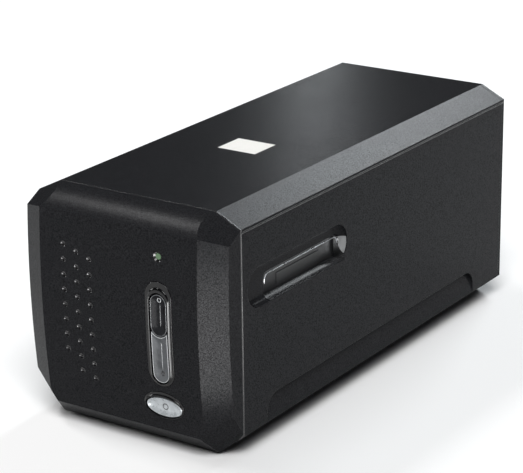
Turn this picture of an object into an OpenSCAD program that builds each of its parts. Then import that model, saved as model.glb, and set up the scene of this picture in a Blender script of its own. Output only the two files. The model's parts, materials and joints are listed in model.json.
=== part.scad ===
// Desktop scanner for 35 mm film strips and slides.
// Millimetres, +Z up, the front faces -Y, the origin is on the table under the middle.

/* [Body] */
// Width across the side walls
body_w = 116; // [112:1:122]
// Length from the rim around the buttons to the rear face
body_l = 272; // [266:2:290]
// Height from the table to the top
body_h = 119; // [117:1:124]
// Thickness of the housing walls
wall = 2.5; // [2.2:0.1:2.8]
// Thickness of the rear panel
rear_t = 2.5; // [2:0.1:3.5]
// Height of the rubber feet under the housing
foot_h = 1.5; // [1:0.25:2.5]
// Diameter of the rubber feet
foot_d = 13; // [9:1:15]

/* [Bevels] */
// Width of each bevel of the top cover
top_bevel_w = 13.4; // [11:0.2:15]
// Height of each bevel of the top cover
top_bevel_h = 6.7; // [5.5:0.1:7.5]
// Width of each bevel along the bottom
low_bevel_w = 12; // [10:0.5:13]
// Height of each bevel along the bottom
low_bevel_h = 9.3; // [8:0.1:10]
// Height of the upright lip of the top cover
cover_lip = 1.5; // [1:0.1:2.2]
// Width of the visible seam between two shells
seam = 0.25; // [0.1:0.05:0.4]
// Length of the tongues that locate the shells in each other
tongue_l = 1.5; // [1:0.1:1.8]
// Thickness of those tongues
tongue_t = 1.3; // [1:0.1:1.5]

/* [Front bezel] */
// Depth of the bezel from its bowed face to the seam
bezel_l = 17.2; // [16.5:0.1:19]
// Radius of the bow of the front face
bow_r = 510; // [420:10:700]
// Height of the most forward point of the bow
bow_z = 75; // [68:1:82]
// Width of the side bevels, seen from the front
side_bevel_w = 12.8; // [11:0.2:14]
// Depth of the side bevels, seen from the side
side_bevel_d = 6.7; // [6:0.1:7.4]
// Drop of the curved shoulder from the top to the front face
shoulder_drop = 8.8; // [8:0.1:9.6]
// Radius of the curved shoulder
shoulder_r = 37; // [32:1:60]
// Height of the lower front bevel
chin_h = 9.4; // [8.5:0.1:10]
// Depth of the lower front bevel
chin_d = 9.8; // [9:0.1:10.6]
// How far the lower corner facets run up the front face
chin_facet = 5; // [3.5:0.5:6]
// Pitch of the dimples
dimple_pitch = 7.55; // [7:0.05:7.7]
// Diameter of a dimple
dimple_d = 2.8; // [2:0.1:3.2]
// Depth of a dimple
dimple_depth = 0.55; // [0.3:0.05:0.8]
// Height of the top dimple of the outer column
dimple_top_z = 94.6; // [92:0.2:96]
// Distance of the outer dimple column from the middle
dimple_x = 31.1; // [29:0.1:33]

/* [Buttons] */
// Distance of the button column from the middle
button_x = 23.4; // [21:0.2:25]
// Width of the scan buttons
button_w = 9.2; // [8.4:0.1:9.8]
// Height of the lower end of the lower scan button
button_low_z = 36.1; // [35.6:0.1:37]
// Length of the column of the two scan buttons
button_column = 44.1; // [42:0.1:45]
// Length of the upper scan button
button_upper_l = 20.6; // [19:0.1:22]
// How far the buttons stand out of the bowed face
button_proud = 0.3; // [0.2:0.05:0.6]
// Travel of the scan buttons
button_travel = 1; // [0.6:0.1:1.2]
// Gap around each button
button_gap = 0.4; // [0.3:0.05:0.5]
// Height of the rounded rims of the two surrounds over the bowed face
rim_h = 0.8; // [0.5:0.1:1]
// How far the inner edge of those rims lies below the bowed face
rim_drop = 0.9; // [0.5:0.1:1.2]
// Width of the surround of the scan buttons
surround_w = 14.6; // [14:0.1:15.4]
// Length of that surround
surround_l = 52; // [51.6:0.1:53]
// Height of the lower end of that surround
surround_low_z = 34.4; // [34:0.1:34.6]
// Width of the power button
power_w = 20.2; // [18.8:0.1:21]
// Height of the power button
power_h = 9.5; // [8.8:0.1:10]
// Height of the middle of the power button
power_z = 23.3; // [22.8:0.1:24]
// Travel of the power button
power_travel = 1.2; // [0.8:0.1:1.4]
// Width of the cup around the power button
cup_w = 22.8; // [22.4:0.1:24]
// Height of that cup
cup_h = 13.6; // [13.2:0.1:14]
// How far the cup's middle lies above the button's middle
cup_rise = 1; // [0.5:0.1:1.3]
// Diameter of the status light
led_d = 3; // [2.4:0.1:3.2]
// Width of the bevel around the status light
led_bevel = 0.7; // [0.3:0.1:0.9]

/* [Film slot] */
// Width of the throat that the film holder slides through
slot_w = 65.5; // [62:0.5:67]
// Height of the throat on the loading side
slot_h = 13; // [11.5:0.25:13.5]
// Height of the throat on the exit side
exit_h = 17.2; // [16.8:0.1:17.4]
// Height of the throat's floor above the table
slot_z = 71; // [70.5:0.1:72]
// Distance from the seam to the front end of the rounded recess
recess_start = 4.5; // [4.3:0.1:5.5]
// Length of the rounded recess
recess_l = 86.6; // [85:0.2:88]
// Height of the rounded recess
recess_h = 20; // [19.6:0.2:20.6]
// Depth of the rounded recess, and radius of the cove around its floor
recess_depth = 4; // [3.5:0.1:4.3]
// Radius of the throat's upper corners on the loading side
throat_r = 3; // [1.5:0.25:4]
// Distance from the throat to the rear end of the recess
recess_tail = 2.4; // [2:0.1:4]
// Thickness of the dust flaps
flap_t = 2; // [1.6:0.1:2.2]
// Radius of the flap pins
flap_pin_r = 1.3; // [1.1:0.05:1.4]

/* [Grip] */
// Length of each grip recess
grip_l = 202.8; // [180:2:208]
// Distance from the seam to the front end of the grip recess
grip_start = 19.6; // [16:0.2:28]
// Height of the grip recess above the lower bevel
grip_h = 13.4; // [11:0.2:15]
// Depth of the grip recess at its top
grip_depth = 2.8; // [2:0.1:4.3]
// Radius of the upper corners of the grip recess
grip_r = 9; // [6:0.5:11]

/* [Label] */
// Width of the blank label on the top
label_w = 22; // [18:1:26]
// Length of that label
label_l = 18.5; // [14:0.5:22]
// Distance from the seam to the front of that label
label_start = 81.5; // [70:0.5:90]
// Thickness of that label
label_t = 0.2; // [0.1:0.05:0.3]

/* [Optics and drive] */
// Length of the film frame across the scanner
frame_w = 36.8; // [36:0.2:38]
// Width of the film frame along the scanner
frame_l = 25.4; // [24:0.2:27]
// Scan travel of the carriage
scan_travel = 30; // [28:1:32]
// Width of the carriage box
carriage_w = 52; // [50:1:54]
// Length of the carriage box
carriage_l = 114; // [108:1:116]
// Height of the carriage box
carriage_h = 35; // [32:1:36]
// Radius of the guide rods
rod_r = 3; // [2.5:0.25:3.5]
// Distance of each guide rod from the middle
rod_x = 34; // [33:0.5:35]
// Radius of the lead screw
screw_r = 3; // [2.5:0.25:3.5]
// Radius of the motor
motor_r = 12.5; // [10:0.5:13]
// Length of the motor
motor_l = 21; // [16:1:24]
// Radius of the lens barrel
lens_r = 11; // [9:0.5:12]
// Length of the lens barrel
lens_l = 28; // [22:1:32]

/* [Boards and sockets] */
// Thickness of the circuit boards
board_t = 1.6; // [1.2:0.2:2]
// Width of the main board
board_w = 92; // [84:1:96]
// Height of the main board
board_h = 70; // [60:1:76]
// Width of the USB socket
usb_w = 12; // [11.6:0.1:12.6]
// Height of the USB socket
usb_h = 11; // [10.6:0.1:11.6]
// Radius of the plug hole in the power inlet
inlet_r = 3.2; // [2.9:0.1:3.4]
// Outer size of the power inlet
inlet_w = 11; // [10:0.5:12]

/* [Fixings] */
// Radius of a screw's shank
shank_r = 1.5; // [1.2:0.1:1.6]
// Radius of a screw's head
head_r = 2.8; // [2.4:0.1:3]
// Outer radius of a screw boss
boss_r = 3.4; // [3.1:0.1:3.8]

/* [Clearances] */
// Gap between parts that are fixed to each other
fit_gap = 0.1; // [0.05:0.05:0.2]
// Radial gap of turning and sliding pins
run_gap = 0.05; // [0.02:0.01:0.09]
// Gap between moving parts that must not touch
move_gap = 0.4; // [0.3:0.05:0.6]

/* [Hidden] */

$fn = 48;
fine = 96;      // sides of a circle whose curve is easy to see
bow_fn = 720;   // sides of the very large circle of the bow
big = 400;      // longer than anything in the part
reach = 5;      // how far cuts start in front of the bowed face
eps = 0.01;     // overlap of one cut into the next
join = 0.5;     // overlap of the pieces of one solid

half_w = body_w / 2;
base_z = foot_h;
top_z = body_h;
face_y = -body_l / 2 + rim_h;
seam_y = face_y + bezel_l;
rear_y = body_l / 2;
shell_start = seam_y + seam;
shell_end = rear_y - rear_t;
split_z = top_z - top_bevel_h - cover_lip;
low_edge_z = base_z + low_bevel_h;
floor_z = base_z + wall;

// Places on the front face
shoulder_z = top_z - shoulder_drop;
chin_z = base_z + chin_h;
chin_y = bow_y(chin_z);
chin_back = chin_y + chin_d;
button_high_z = button_low_z + button_column;
button_split_z = button_high_z - button_upper_l + button_w / 2;
surround_z = surround_low_z + surround_l / 2;
led_z = (surround_low_z + surround_l + shoulder_z) / 2;  // midway between surround and shoulder
facet_slope = 0.66;     // how much the lower corner facets lean inwards
corner_size = 80;       // edge of the block that cuts a corner away

// Layers behind the bowed face, measured inwards from it
flange_t = 1.2;
flange_reach = 1.2;
surround_back = wall + flange_t;
rim_steps = 8;          // points up each straight side of the surround
stop_t = 1;
stop_reach = 1.5;
stop_front = surround_back + fit_gap;
stop_back = stop_front + stop_t;
stem_r = 1.8;
lens_sunk = 0.6;
lens_flange = 1;
lens_flange_t = 1.6;
pipe_r = 1.2;
pipe_l = 1.4;

// Button board and its switches
board_y = seam_y - board_t;
switch_w = 6;
switch_l = 3.5;
plunger_l = 1.5;
plunger_r = 1.6;
plunger_y = board_y - switch_l - plunger_l;
low_switch = 11.5;      // from the button column's low end to the lower switch
switch_z = [button_low_z + low_switch, button_high_z - button_upper_l / 2, power_z];
button_board_w = 26;
button_board_side = 16;     // from the middle of the buttons to the board's inner edge
button_board_x = button_x - button_board_side;
button_board_tail = [7.3, 4.7];     // from the power button's middle and the light to the board's ends
button_board_z = [power_z - button_board_tail[0], led_z + button_board_tail[1]];
board_post_side = 13;       // from the middle of the buttons to the posts
board_post_x = button_x - board_post_side;
board_post_r = 2.4;
board_post_end = [3.9, 6.3];        // from the button column's low end and from the light to the posts
board_post_z = [button_low_z + board_post_end[0], led_z - board_post_end[1]];
horn_cut = 2.8;         // length that is cut off the lower button's two thin horns
groove_start = 4.5;     // from a button's plain end to its groove
groove_end = 7;         // from a button's dotted end to its groove
horn_groove = 3;        // from the lower button's highest point to its groove
groove_w = 2.6;
groove_depth = 0.5;
dot_r = 0.9;
dot_sunk = 0.4;
dot_inset = 3.6;
ring_r = [1.3, 1.7];
ring_depth = 0.25;

// Film slot
recess_y = seam_y + recess_start;
recess_end = recess_y + recess_l;
recess_top = slot_z - fit_gap + recess_h;
slot_end = recess_end - recess_tail;
slot_start = slot_end - slot_w;
slot_y = (slot_start + slot_end) / 2;
recess_z = recess_top - recess_h / 2;
recess_flat = recess_h / 2 - recess_depth;  // radius of the round ends of the recess's floor
slot_boss_x = half_w - recess_depth - wall;
frame_d = 6.2;
frame_wall = 3;
frame_side = 1;
flap_rise = 0.3;        // clearance over the floor under the flap's edge, and over the throat
frame_x = slot_boss_x - frame_d;
frame_top = slot_z + exit_h + flap_rise;
spring_w = 3.4;
spring_wire = 0.5;
spring_gap = 0.25;
spring_r = flap_pin_r + spring_gap + spring_wire;
flap_x = slot_boss_x - fit_gap - spring_r;
flap_roll = 0.3;        // how much thicker the flap is at its pins
pin_short = 0.5;        // how far the pins stop inside the frame's wall
flap_pin_z = frame_top - flap_t / 2 - flap_pin_r;
flap_end = [slot_start - frame_side + move_gap, slot_end + frame_side - move_gap];
pad_w = 37;
pad_h = 7;
pad_t = 0.35;
pad_y = slot_y + 2;

// Grip recess
grip_y = seam_y + grip_start;
grip_end = grip_y + grip_l;
grip_top = low_edge_z + grip_h;

// Optics and drive
guide_wall = 2;
guide_floor = 2.5;
gate_margin = 1;
lamp_margin = 7;
lamp_wall = 2;
lamp_h = 13;
lamp_inner = [frame_w / 2 + lamp_margin - lamp_wall, frame_l / 2 + lamp_margin - lamp_wall];
diffuser_t = 2;
lamp_pitch = [8, 12];
lamp_x = [for (i = [-1.5:1:1.5]) i * lamp_pitch[0]];
lamp_y = [for (i = [-0.5, 0.5]) i * lamp_pitch[1]];
lamp_size = 2.8;
lamp_t = 0.9;
chassis_rise = 5.5;     // height of the bosses under the chassis
chassis_z = floor_z + chassis_rise;
chassis_t = 2.5;
chassis_tail = 14;
deck_z = chassis_z + chassis_t;
film_floor_z = slot_z - guide_floor;
carriage_gap = 2.5;     // between the carriage and the film guide
carriage_top = film_floor_z - carriage_gap;
carriage_z = carriage_top - carriage_h;
carriage_wall = 2;
scan_lead = 23;         // from the front of the carriage to its scan line
lens_lead = 50;         // from the front of the carriage to the lens
ear_lead = 6;           // from the front of the carriage to its front ears
ear_inset = 20;         // from the rear of the carriage to the front of its rear ears
nut_inset = 16;         // from the rear of the carriage to the front of the nut
stand_room = 20;        // from the nut to the rear stand
scan_y = slot_y + scan_travel / 2;
carriage_front = scan_y - scan_lead;
carriage_back = carriage_front + carriage_l;
optic_z = carriage_z + carriage_h / 2;
rod_rise = 9;           // from the carriage's floor to the guide rods
rod_z = carriage_z + rod_rise;
ear_l = 12;
ear_wall = 3.2;
ear_r = rod_r + ear_wall;
ear_front = carriage_front + ear_lead;
ear_back = carriage_back - ear_inset;
bush_t = 1;
screw_drop = 7.5;       // from the carriage's floor down to the lead screw
screw_z = carriage_z - screw_drop;
nut_wall = 3;
nut_r = screw_r + nut_wall;
nut_l = 12;
nut_y = carriage_back - nut_inset;
stand_t = 3;
stand_gap = [2, 3];     // room between the travel's end and the front stand, and the screw's bearing
stand_rim = 4;          // material around the guide rods
stand_front = carriage_front - scan_travel - stand_gap[0] - stand_t;
stand_back = nut_y + nut_l + stand_room;
stand_mid = nut_y - scan_travel - stand_gap[1] - stand_t;
stand_w = 2 * (rod_x + rod_r + stand_rim);
stand_h = rod_z + rod_r + stand_rim - deck_z;
motor_y = stand_back + stand_t;
pilot_r = 6;
pilot_l = 2;
motor_ear = [3, 8, 1.5];        // reach past the motor, height and thickness of its mounting ears
bearing_rim = 2;        // material over the lead screw in its front bearing
screw_tip = 1;          // how far the lead screw stands out of that bearing
column_r = 3.2;
column_gap = 1;
column_side = 2;        // how far the columns stand outside the throat
column_x = stand_w / 2 + column_r + column_gap;
column_y = [slot_start - column_side, slot_end + column_side];
lens_y = carriage_front + lens_lead;
lens_wall_t = 4;
lens_wall_y = lens_y + (lens_l - lens_wall_t) / 2;
sensor_y = carriage_back;
mirror_t = 2;
mirror_l = 27;
slit_w = 5;
lens_tube = 1.5;        // wall of the lens barrel, and height of its flange
lens_flange_l = 2.5;
element_t = 4;
sensor_size = [42, 3.2, 10];

// Rear sockets and the main board
standoff_l = 12;
board_front = shell_end - standoff_l - board_t;
board_rise = 12;
board_margin = 5;       // from the board's edges to its screws
board_z = base_z + board_rise;
board_screw_x = board_w / 2 - board_margin;
board_screw_z = [board_z + board_margin, board_z + board_h - board_margin];
chips = [[0, 42, 24, 24, 1.4], [26, 39, 12, 18, 1.2]];  // x, height on the board, width, height, thickness
capacitor_r = 4;
capacitor_l = 11;
capacitor_x = -28;
capacitor_z = [32, 46];
usb_x = 20;
usb_wall = 1.6;
usb_floor = 2;
usb_tongue = [5.6, 8, 3.2];
inlet_x = -20;
inlet_floor = 3;
inlet_pin_r = 1;
inlet_pin_sunk = 2;
socket_rise = 10;       // from the board's lower edge to the middle of the sockets
socket_z = board_z + socket_rise;
socket_l = 14.5;
lock_x = -41;
lock_w = 3.2;
lock_h = 7.2;

// Screws
screw_l = 12;
head_t = 1.8;
head_sunk = 0.3;
cross_w = 0.8;
cross_l = 3.2;
cross_depth = 0.9;
rear_screw_side = 16;
boss_gap = 0.6;         // between the rear screw bosses and the walls above and below
foot_margin = 2;
foot_inset = 18;
rear_screw_x = half_w - rear_screw_side;
rear_screw_z = [base_z + wall + boss_r + boss_gap, top_z - wall - boss_r - boss_gap];
foot_x = half_w - low_bevel_w - foot_d / 2 - foot_margin;
foot_y = [seam_y + foot_inset, shell_end - foot_inset];
foot_sunk = 0.8;
foot_edge = 1;          // chamfer along the foot's lower edge
rib_t = 2;              // thickness of the ribs that carry the rear screw bosses
lip_h = 3;              // how far the cover's lip hangs below its edge
blind = 1;              // material left at the end of a blind screw hole
chassis_boss_side = 12;
chassis_boss_inset = [9, 6];    // from the front stand and from the motor's face
chassis_boss_x = column_x - chassis_boss_side;
chassis_boss_y = [stand_front + chassis_boss_inset[0], motor_y + chassis_boss_inset[1]];
tip_gap = 0.8;          // room under the tip of a chassis screw

// Height of the bowed face's surface at height z, moved in by t
function bow_y(z, t = 0) = face_y + bow_r - sqrt(pow(bow_r - t, 2) - pow(z - bow_z, 2));

// The two points of a bevelled corner that is moved in by t
function bevel_w_in(w, h, t) = w + t * (norm([w, h]) - w) / h;
function bevel_h_in(w, h, t) = h + t * (norm([w, h]) - h) / w;

// Cross-section of the housing, moved in by t
module case_outline(t = 0) {
    x_top = half_w - bevel_w_in(top_bevel_w, top_bevel_h, t);
    z_top = top_z - bevel_h_in(top_bevel_w, top_bevel_h, t);
    x_low = half_w - bevel_w_in(low_bevel_w, low_bevel_h, t);
    z_low = base_z + bevel_h_in(low_bevel_w, low_bevel_h, t);
    right = [[x_low, base_z + t], [half_w - t, z_low], [half_w - t, z_top], [x_top, top_z - t]];
    left = [for (i = [3:-1:0]) [-right[i].x, right[i].y]];
    polygon(concat(right, left));
}

// Sweeps a drawing in X and Z along Y
module along_y(y0, y1) {
    translate([0, y1, 0]) rotate([90, 0, 0]) linear_extrude(y1 - y0) children();
}

// Sweeps a drawing in Y and Z along X
module along_x(x0, x1) {
    translate([x0, 0, 0]) rotate([90, 0, 90]) linear_extrude(x1 - x0) children();
}

module both_sides() {
    children();
    mirror([1, 0, 0]) children();
}

// Upright stadium centred on the origin
module stadium(w, h) {
    for (s = [-1, 1]) translate([0, s * (h - w) / 2]) circle(d = w, $fn = fine);
    square([w, h - w], center = true);
}

// Oval centred on the origin
module oval(w, h) {
    polygon(oval_points(w, h, 0));
}

// Box from its lowest to its highest corner
module block(low, high) {
    translate(low) cube(high - low);
}

// Bar of radius r along Y
module rod_y(r, y0, y1) {
    translate([0, y0, 0]) rotate([-90, 0, 0]) cylinder(r = r, h = y1 - y0);
}

// The bowed face and its side bevels, revolved about the axis of the bow and moved in by t
module bow_solid(t = 0) {
    r_edge = bow_r - bevel_h_in(side_bevel_w, side_bevel_d, t);
    x_face = half_w - bevel_w_in(side_bevel_w, side_bevel_d, t);
    translate([0, face_y + bow_r, bow_z]) rotate([0, 90, 0])
        rotate_extrude($fn = bow_fn)
            polygon([[0, t - half_w], [r_edge, t - half_w], [bow_r - t, -x_face],
                     [bow_r - t, x_face], [r_edge, half_w - t], [0, half_w - t]]);
}

// The layer of the bowed face between the insets t0 and t1, cut to a drawing in X and Z
module bow_layer(t0, t1) {
    difference() {
        intersection() {
            bow_full(t0);
            along_y(face_y - reach, face_y + bezel_l) children();
        }
        bow_full(t1);
    }
}

// The bow without its side bevels
module bow_full(t) {
    translate([0, face_y + bow_r, bow_z]) rotate([0, 90, 0])
        cylinder(r = bow_r - t, h = body_w, center = true, $fn = bow_fn);
}

// Side view of the bezel: curved shoulder, straight middle and chin bevel, moved in by t
module side_profile(t, back) {
    seam_point = [seam_y, top_z];
    face_point = [bow_y(shoulder_z), shoulder_z];
    chord = face_point - seam_point;
    inward = [-chord.y, chord.x] / norm(chord);
    centre = (seam_point + face_point) / 2 + inward * sqrt(pow(shoulder_r, 2) - pow(norm(chord) / 2, 2));
    chin = [chin_d, -chin_h] / norm([chin_d, chin_h]);
    chin_in = [chin_back, base_z] + t * [-chin.y, chin.x];
    run = (chin_in.y - base_z - t) / chin.y;
    low = chin_in - chin * run;
    front = low - chin * 2 * chin_d;
    intersection() {
        translate([face_y - 1, shoulder_z - eps]) square([back - face_y + 1, top_z - t - shoulder_z + eps]);
        union() {
            translate(centre) circle(r = shoulder_r - t, $fn = 360);
            translate([seam_y - eps, shoulder_z - 1]) square([back - seam_y + 1, shoulder_drop + 2]);
        }
    }
    polygon([[back, shoulder_z], [front.x, shoulder_z], front, low, [back, base_z + t]]);
}

// Cuts away all that lies outside the plane through three points, moved in by t
module corner_cut(p, q, r, t) {
    raw = cross(q - p, r - p);
    away = raw * (p - [0, 0, body_h / 2]) > 0 ? raw : -raw;
    n = away / norm(away);
    translate(p - n * t) rotate([0, acos(n.z), atan2(n.y, n.x)])
        translate([0, 0, corner_size / 2]) cube(corner_size, center = true);
}

// Outer form of the front bezel, moved in by t and reaching back to the given depth
module bezel_form(t, back) {
    top_in = [half_w - top_bevel_w, seam_y, top_z];
    top_out = [half_w, seam_y, top_z - top_bevel_h];
    top_face = [half_w - side_bevel_w, bow_y(shoulder_z), shoulder_z];
    low_in = [half_w - low_bevel_w, chin_back, base_z];
    low_face = [half_w - side_bevel_w, bow_y(chin_z + chin_facet), chin_z + chin_facet];
    low_chin = [half_w - side_bevel_w - chin_facet * facet_slope, chin_y, chin_z];
    difference() {
        intersection() {
            bow_solid(t);
            along_x(-half_w, half_w) side_profile(t, back);
            along_y(face_y - reach, back) case_outline(t);
        }
        both_sides() {
            corner_cut(top_in, top_out, top_face, t);
            corner_cut(low_in, low_face, low_chin, t);
        }
    }
}

// Ring along the inside of the housing, for a tongue
module tongue_ring(y0, y1) {
    difference() {
        along_y(y0, y1) case_outline(wall + fit_gap);
        along_y(y0 - 1, y1 + 1) case_outline(wall + fit_gap + tongue_t);
    }
}

module surround_hole(grow = 0) {
    translate([button_x, surround_z]) stadium(surround_w + 2 * grow, surround_l + 2 * grow);
}

module cup_hole(grow = 0) {
    translate([button_x, power_z + cup_rise]) oval(cup_w + 2 * grow, cup_h + 2 * grow);
}

module dimples() {
    r = (pow(dimple_d / 2, 2) + pow(dimple_depth, 2)) / (2 * dimple_depth);
    for (column = [0:2]) {
        count = column == 0 ? 8 : 9;
        for (row = [0:count - 1]) {
            z = dimple_top_z - column * dimple_pitch / 3 - row * dimple_pitch;
            translate([-dimple_x + column * dimple_pitch, bow_y(z) + dimple_depth - r, z])
                sphere(r = r, $fn = 32);
        }
    }
}

module front_bezel() {
    color("#26282b") {
        difference() {
            bezel_form(0, seam_y);
            bezel_form(wall, seam_y + 1);
            along_y(face_y - reach, seam_y) {
                surround_hole(fit_gap);
                cup_hole(fit_gap);
                translate([button_x, led_z]) circle(d = led_d + 2 * fit_gap);
            }
            // Bevel around the status light
            translate([button_x, bow_y(led_z) - led_bevel, led_z]) rotate([-90, 0, 0])
                cylinder(h = 2 * led_bevel,
                         r1 = led_d / 2 + fit_gap + 2 * led_bevel, r2 = led_d / 2 + fit_gap);
            dimples();
        }
        // Tongue into the shells
        difference() {
            tongue_ring(seam_y - tongue_l, seam_y + tongue_l);
            translate([0, 0, split_z]) cube([2 * big, 2 * tongue_l, seam], center = true);
        }
        // Rim that joins the tongue to the bezel's wall
        intersection() {
            difference() {
                along_y(seam_y - tongue_l, seam_y - fit_gap) case_outline(wall / 2);
                along_y(seam_y - tongue_l - 1, seam_y) case_outline(wall + fit_gap + tongue_t);
            }
            bezel_form(wall / 2, seam_y);
        }
        // Posts for the button board
        for (z = board_post_z) difference() {
            translate([board_post_x, 0, z]) rod_y(board_post_r, bow_y(z, wall / 2), board_y);
            translate([board_post_x, 0, z])
                rod_y(shank_r + run_gap, board_y - screw_l / 2 - 1, board_y + 1);
        }
    }
}

// Half of the section through the recess around a slot: a flat floor with a cove beside it
module recess_half() {
    translate([0, -recess_depth]) square([recess_flat, recess_depth]);
    intersection() {
        translate([recess_flat, 0]) circle(r = recess_depth, $fn = fine);
        translate([recess_flat - eps, -recess_depth]) square([recess_depth + 1, recess_depth]);
    }
    translate([0, -eps]) square([recess_flat + recess_depth, 1 + eps]);
}

// Recess around a slot, with round ends
module slot_recess() {
    ends = [recess_y + recess_h / 2, recess_end - recess_h / 2];
    translate([half_w, 0, recess_z]) {
        for (y = ends) translate([0, y, 0]) rotate([0, 90, 0]) rotate_extrude($fn = fine) recess_half();
        along_y(ends[0], ends[1]) rotate(-90) both_sides() recess_half();
    }
}

// Outline of the throat; only the loading side has round upper corners
module throat_outline(height, side, corner_r) {
    width = slot_w + 2 * side;
    translate([slot_start - side, slot_z]) {
        square([width, height - corner_r]);
        if (corner_r > 0) {
            translate([corner_r, 0]) square([width - 2 * corner_r, height]);
            for (y = [corner_r, width - corner_r])
                translate([y, height - corner_r]) circle(r = corner_r, $fn = fine);
        }
    }
}

module slot_throat(height, side = 0, corner_r = 0) {
    along_x(frame_x, half_w + 1) throat_outline(height, side, corner_r);
}

module slot_boss() {
    low = recess_top - recess_h - wall;
    block([slot_boss_x, recess_y - wall, low], [half_w - join, recess_end + wall, recess_top + wall]);
}

// Outline of the grip recess on the side wall: a long bar with round upper corners
module grip_outline(grow = 0) {
    r = grip_r + grow;
    for (y = [grip_y + grip_r, grip_end - grip_r])
        translate([y, grip_top - grip_r]) circle(r = r, $fn = fine);
    translate([grip_y + grip_r, low_edge_z - r]) square([grip_l - 2 * grip_r, grip_h - grip_r + 2 * r]);
    translate([grip_y - grow, low_edge_z - r]) square([grip_l + 2 * grow, grip_h - grip_r + r]);
}

module grip_cut() {
    intersection() {
        along_x(half_w - grip_depth, half_w + 1) grip_outline();
        along_y(seam_y, shell_end)
            polygon([[half_w, low_edge_z], [half_w - grip_depth, grip_top],
                     [half_w + 1, grip_top], [half_w + 1, low_edge_z]]);
    }
}

module grip_boss() {
    intersection() {
        along_x(half_w - grip_depth - wall, half_w - wall + join) grip_outline(wall);
        along_y(seam_y, shell_end)
            polygon([[half_w - wall, low_edge_z], [half_w - grip_depth - wall, grip_top],
                     [half_w - grip_depth - wall, grip_top + wall],
                     [half_w - wall + join, grip_top + wall],
                     [half_w - wall + join, low_edge_z]]);
    }
}

// Boss with a screw hole, standing on a floor at height z0
module screw_boss(z0, z1) {
    difference() {
        translate([0, 0, z0]) cylinder(r = boss_r, h = z1 - z0);
        translate([0, 0, z0 + join]) cylinder(r = shank_r + run_gap, h = z1 - z0);
    }
}

// Boss along Y behind the rear panel
module rear_boss(y1) {
    difference() {
        rod_y(boss_r, y1 - screw_l, y1);
        rod_y(shank_r + run_gap, y1 - screw_l + blind, y1 + 1);
    }
}

module lower_case() {
    rear_tongue = shell_end - 2 * tongue_l - fit_gap;
    color("#26282b") {
        difference() {
            union() {
                difference() {
                    along_y(shell_start, shell_end) case_outline();
                    along_y(seam_y - 1, shell_end + 1) case_outline(wall);
                    block([-big, seam_y - 1, split_z], [big, shell_end + 1, top_z + 1]);
                }
                both_sides() {
                    slot_boss();
                    grip_boss();
                }
                for (x = [-chassis_boss_x, chassis_boss_x], y = chassis_boss_y)
                    translate([x, y, 0]) screw_boss(floor_z - join, chassis_z);
                // Rear screw bosses on a rib that stands on the floor
                for (x = [-rear_screw_x, rear_screw_x]) {
                    translate([x, 0, rear_screw_z[0]]) rear_boss(rear_tongue);
                    difference() {
                        block([x - rib_t / 2, rear_tongue - screw_l, floor_z - join],
                              [x + rib_t / 2, rear_tongue, rear_screw_z[0]]);
                        translate([x, 0, rear_screw_z[0]]) rod_y(boss_r - join, 0, rear_y);
                    }
                }
            }
            both_sides() slot_recess();
            slot_throat(slot_h, 0, throat_r);
            // The exit is wider and higher, because its flap swings out through it
            mirror([1, 0, 0]) slot_throat(exit_h, frame_side);
            both_sides() grip_cut();
            for (x = [-foot_x, foot_x], y = foot_y)
                translate([x, y, base_z - 1]) cylinder(d = foot_d + 2 * fit_gap, h = foot_sunk + 1);
        }
    }
}

module top_cover() {
    rear_tongue = shell_end - 2 * tongue_l - fit_gap;
    label_y = seam_y + label_start;
    lip_x = half_w - wall - fit_gap;
    lip_low = split_z - lip_h;
    color("#26282b") {
        difference() {
            along_y(shell_start, shell_end) case_outline();
            along_y(seam_y - 1, shell_end + 1) case_outline(wall);
            block([-big, seam_y - 1, 0], [big, shell_end + 1, split_z + seam]);
            block([-label_w / 2 - fit_gap, label_y - fit_gap, top_z - label_t],
                  [label_w / 2 + fit_gap, label_y + label_l + fit_gap, top_z + 1]);
        }
        // Lip that hangs inside each side wall
        both_sides() intersection() {
            block([lip_x - tongue_t, seam_y + 2 * tongue_l, lip_low], [lip_x, rear_tongue, top_z]);
            along_y(seam_y, shell_end) case_outline(wall / 2);
        }
        both_sides() intersection() {
            block([lip_x - join, seam_y + 2 * tongue_l, split_z + seam],
                  [half_w - wall / 2, rear_tongue, split_z + seam + tongue_t]);
            along_y(seam_y, shell_end) case_outline(wall / 2);
        }
        // Rear screw bosses under the top
        for (x = [-rear_screw_x, rear_screw_x]) {
            translate([x, 0, rear_screw_z[1]]) rear_boss(rear_tongue);
            difference() {
                block([x - rib_t / 2, rear_tongue - screw_l, rear_screw_z[1]],
                      [x + rib_t / 2, rear_tongue, top_z - wall + join]);
                translate([x, 0, rear_screw_z[1]]) rod_y(boss_r - join, 0, rear_y);
            }
        }
    }
}

module top_label() {
    label_y = seam_y + label_start;
    color("#f2f1ec")
        block([-label_w / 2, label_y, top_z - label_t], [label_w / 2, label_y + label_l, top_z]);
}

module rubber_feet() {
    color("#161616")
        for (x = [-foot_x, foot_x], y = foot_y) translate([x, y, 0]) {
            cylinder(d1 = foot_d - 2 * foot_edge, d2 = foot_d, h = foot_edge);
            translate([0, 0, foot_edge - eps])
                cylinder(d = foot_d, h = base_z + foot_sunk - foot_edge + eps);
        }
}

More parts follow.
